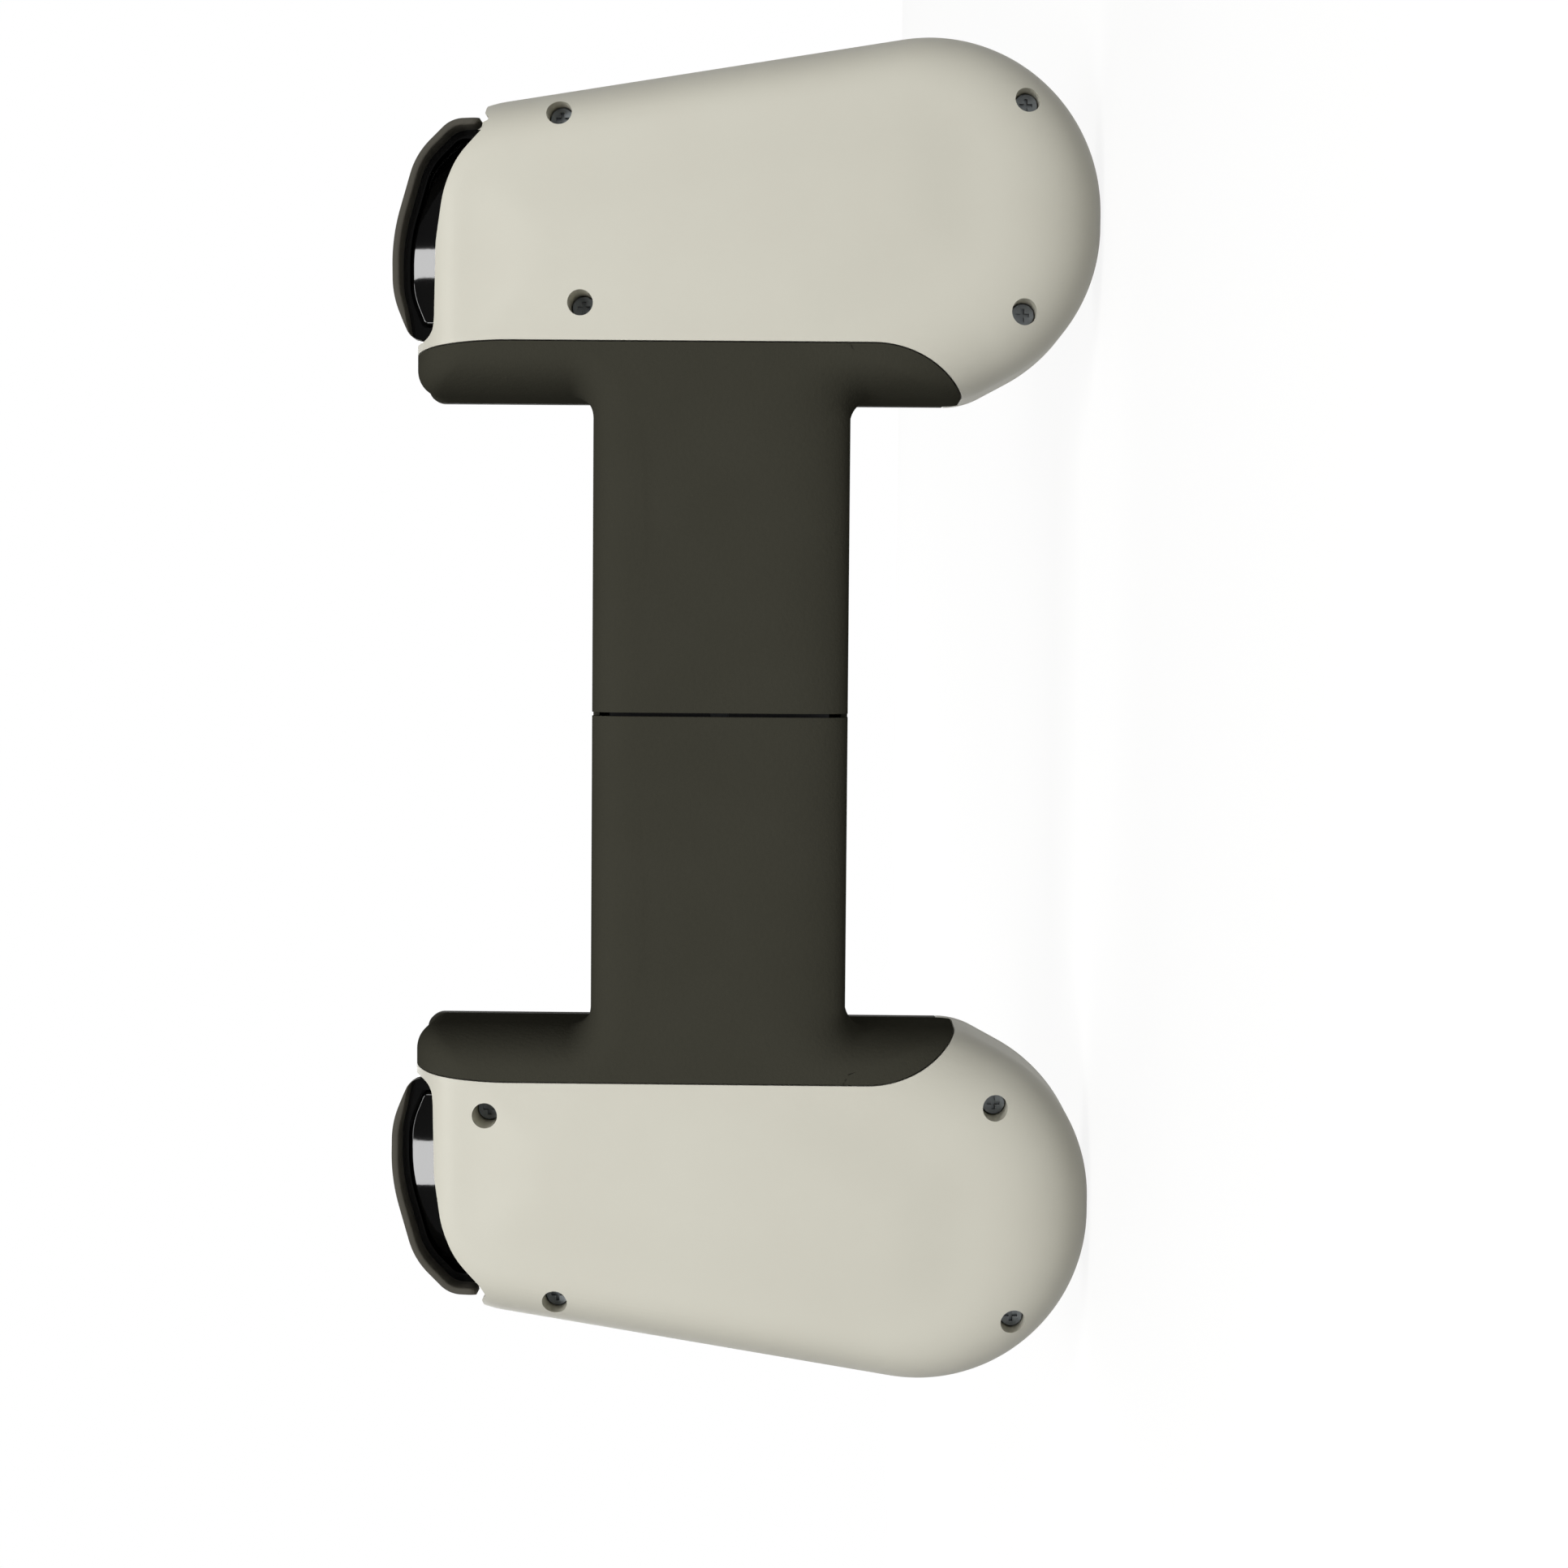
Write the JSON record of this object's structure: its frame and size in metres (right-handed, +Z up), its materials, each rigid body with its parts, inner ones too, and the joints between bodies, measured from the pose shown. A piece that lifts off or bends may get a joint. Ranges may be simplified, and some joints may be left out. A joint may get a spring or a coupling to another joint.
{
  "type": "mobile game controller",
  "caption": "Stretch-type game controller: grips with sticks, buttons and triggers on a sliding bridge that clamps a telephone between them.",
  "frame": {"origin": "centre of the whole controller's box with the bridge closed", "axes": "+X across the controller towards the right-hand grip, +Z up to the triggers, -Y out of the face with the sticks"},
  "size_m": [0.1768, 0.034, 0.0923],
  "materials": {
    "white_shell": "moulded satin ABS",
    "bridge_dark": "moulded plastic with a fine grain",
    "bed_dark": "moulded matt plastic",
    "pad_rubber": "soft matt rubber",
    "gear_plastic": "moulded acetal",
    "spring_steel": "drawn wire",
    "board_green": "solder mask",
    "mat_rubber": "moulded silicone",
    "screw_steel": "nickel plated",
    "module_metal": "pressed sheet",
    "stick_rubber": "moulded rubber",
    "trigger_gloss": "polished moulding",
    "bumper_gloss": "polished moulding",
    "switch_black": "moulded",
    "core_grey": "moulded matt plastic",
    "button_dark": "moulded satin",
    "button_grey": "moulded satin",
    "plug_metal": "nickel plated"
  },
  "bodies": {
    "core": {"core_tray": "core_grey", "core_lid": "core_grey", "core_screws": "screw_steel", "pinion_axle": "screw_steel"},
    "pinion": {"sync_pinion": "gear_plastic"},
    "left_half": {"left_rear_shell": "white_shell", "left_front_shell": "white_shell", "left_bridge_cover": "bridge_dark", "left_bridge_bed": "bed_dark", "left_bed_pad": "pad_rubber", "left_cradle": "pad_rubber", "left_rack": "gear_plastic", "left_return_spring": "spring_steel", "left_circuit_board": "board_green", "left_button_mat": "mat_rubber", "left_screws": "screw_steel", "left_stick_module": "module_metal", "left_trigger_pin": "screw_steel", "left_trigger_spring": "spring_steel", "left_bumper_switch": "switch_black", "headphone_socket": "switch_black"},
    "right_half": {"right_rear_shell": "white_shell", "right_front_shell": "white_shell", "right_bridge_cover": "bridge_dark", "right_bridge_bed": "bed_dark", "right_bed_pad": "pad_rubber", "right_cradle": "pad_rubber", "right_rack": "gear_plastic", "right_return_spring": "spring_steel", "right_circuit_board": "board_green", "right_button_mat": "mat_rubber", "right_screws": "screw_steel", "right_stick_module": "module_metal", "right_trigger_pin": "screw_steel", "right_trigger_spring": "spring_steel", "right_bumper_switch": "switch_black", "charging_socket": "plug_metal", "telephone_plug": "plug_metal"},
    "left_stick_ring": {"left_stick_ring": "gear_plastic"},
    "left_stick_block": {"left_stick_block": "gear_plastic"},
    "left_stick": {"left_stick_shaft": "module_metal", "left_stick_cap": "stick_rubber"},
    "left_trigger": {"left_trigger": "trigger_gloss"},
    "left_bumper": {"left_bumper": "bumper_gloss"},
    "right_stick_ring": {"right_stick_ring": "gear_plastic"},
    "right_stick_block": {"right_stick_block": "gear_plastic"},
    "right_stick": {"right_stick_shaft": "module_metal", "right_stick_cap": "stick_rubber"},
    "right_trigger": {"right_trigger": "trigger_gloss"},
    "right_bumper": {"right_bumper": "bumper_gloss"},
    "direction_rocker": {"direction_rocker": "gear_plastic"},
    "direction_pad": {"direction_pad": "button_dark"},
    "capture_button": {"capture_button": "button_grey"},
    "options_button": {"options_button": "button_grey"},
    "menu_button": {"menu_button": "button_grey"},
    "home_button": {"home_button": "button_grey"},
    "face_button_top": {"face_button_top": "button_dark"},
    "face_button_bottom": {"face_button_bottom": "button_dark"},
    "face_button_inner": {"face_button_inner": "button_dark"},
    "face_button_outer": {"face_button_outer": "button_dark"}
  },
  "joints": [
    {"name": "left_slide", "type": "slide", "parent": "core", "child": "left_half", "axis": [-1, 0, 0], "range_m": [0, 0.04], "stiffness_N_per_m": 40, "springref_m": -0.05},
    {"name": "right_slide", "type": "slide", "parent": "core", "child": "right_half", "axis": [1, 0, 0], "range_m": [0, 0.04], "stiffness_N_per_m": 40, "springref_m": -0.05},
    {"name": "pinion_spin", "type": "hinge", "parent": "core", "child": "pinion", "pos_m": [0, 0, 0.0031], "axis": [0, -1, 0], "range_deg": [0, 409.76]},
    {"name": "left_stick_tilt_updown", "type": "hinge", "parent": "left_half", "child": "left_stick_ring", "pos_m": [-0.0655, -0.001, 0.014], "axis": [1, 0, 0], "range_deg": [-17, 17], "stiffness_Nm_per_rad": 0.02},
    {"name": "left_stick_tilt_sideways", "type": "hinge", "parent": "left_stick_ring", "child": "left_stick_block", "pos_m": [-0.0655, -0.001, 0.014], "axis": [0, 0, 1], "range_deg": [-17, 17], "stiffness_Nm_per_rad": 0.02},
    {"name": "left_stick_click", "type": "slide", "parent": "left_stick_block", "child": "left_stick", "axis": [0, 1, 0], "range_m": [0, 0.0004], "stiffness_N_per_m": 1500, "springref_m": -0.0004},
    {"name": "left_trigger_pull", "type": "hinge", "parent": "left_half", "child": "left_trigger", "pos_m": [-0.062, 0.0048, 0.0366], "axis": [-1, 0, 0], "range_deg": [0, 12], "stiffness_Nm_per_rad": 0.05, "springref_deg": -11.46},
    {"name": "left_bumper_press", "type": "slide", "parent": "left_half", "child": "left_bumper", "axis": [0, 0, -1], "range_m": [0, 0.0008], "stiffness_N_per_m": 1200, "springref_m": -0.0004},
    {"name": "right_stick_tilt_updown", "type": "hinge", "parent": "right_half", "child": "right_stick_ring", "pos_m": [0.061, -0.001, -0.014], "axis": [1, 0, 0], "range_deg": [-17, 17], "stiffness_Nm_per_rad": 0.02},
    {"name": "right_stick_tilt_sideways", "type": "hinge", "parent": "right_stick_ring", "child": "right_stick_block", "pos_m": [0.061, -0.001, -0.014], "axis": [0, 0, 1], "range_deg": [-17, 17], "stiffness_Nm_per_rad": 0.02},
    {"name": "right_stick_click", "type": "slide", "parent": "right_stick_block", "child": "right_stick", "axis": [0, 1, 0], "range_m": [0, 0.0004], "stiffness_N_per_m": 1500, "springref_m": -0.0004},
    {"name": "right_trigger_pull", "type": "hinge", "parent": "right_half", "child": "right_trigger", "pos_m": [0.062, 0.0048, 0.0366], "axis": [-1, 0, 0], "range_deg": [0, 12], "stiffness_Nm_per_rad": 0.05, "springref_deg": -11.46},
    {"name": "right_bumper_press", "type": "slide", "parent": "right_half", "child": "right_bumper", "axis": [0, 0, -1], "range_m": [0, 0.0008], "stiffness_N_per_m": 1200, "springref_m": -0.0004},
    {"name": "direction_tilt_updown", "type": "hinge", "parent": "left_half", "child": "direction_rocker", "pos_m": [-0.061, -0.0024, -0.014], "axis": [1, 0, 0], "range_deg": [-5, 5], "stiffness_Nm_per_rad": 0.03},
    {"name": "direction_tilt_sideways", "type": "hinge", "parent": "direction_rocker", "child": "direction_pad", "pos_m": [-0.061, -0.0024, -0.014], "axis": [0, 0, 1], "range_deg": [-5, 5], "stiffness_Nm_per_rad": 0.03},
    {"name": "capture_button_press", "type": "slide", "parent": "left_half", "child": "capture_button", "axis": [0, 1, 0], "range_m": [0, 0.001], "stiffness_N_per_m": 500, "springref_m": -0.0004},
    {"name": "options_button_press", "type": "slide", "parent": "left_half", "child": "options_button", "axis": [0, 1, 0], "range_m": [0, 0.001], "stiffness_N_per_m": 500, "springref_m": -0.0004},
    {"name": "menu_button_press", "type": "slide", "parent": "right_half", "child": "menu_button", "axis": [0, 1, 0], "range_m": [0, 0.001], "stiffness_N_per_m": 500, "springref_m": -0.0004},
    {"name": "home_button_press", "type": "slide", "parent": "right_half", "child": "home_button", "axis": [0, 1, 0], "range_m": [0, 0.001], "stiffness_N_per_m": 500, "springref_m": -0.0004},
    {"name": "face_button_top_press", "type": "slide", "parent": "right_half", "child": "face_button_top", "axis": [0, 1, 0], "range_m": [0, 0.001], "stiffness_N_per_m": 500, "springref_m": -0.0004},
    {"name": "face_button_bottom_press", "type": "slide", "parent": "right_half", "child": "face_button_bottom", "axis": [0, 1, 0], "range_m": [0, 0.001], "stiffness_N_per_m": 500, "springref_m": -0.0004},
    {"name": "face_button_inner_press", "type": "slide", "parent": "right_half", "child": "face_button_inner", "axis": [0, 1, 0], "range_m": [0, 0.001], "stiffness_N_per_m": 500, "springref_m": -0.0004},
    {"name": "face_button_outer_press", "type": "slide", "parent": "right_half", "child": "face_button_outer", "axis": [0, 1, 0], "range_m": [0, 0.001], "stiffness_N_per_m": 500, "springref_m": -0.0004}
  ],
  "couplings": [
    {"joint": "right_slide", "follows": "left_slide", "ratio": 1},
    {"joint": "pinion_spin", "follows": "left_slide", "rad_per_m": 178.57}
  ]
}
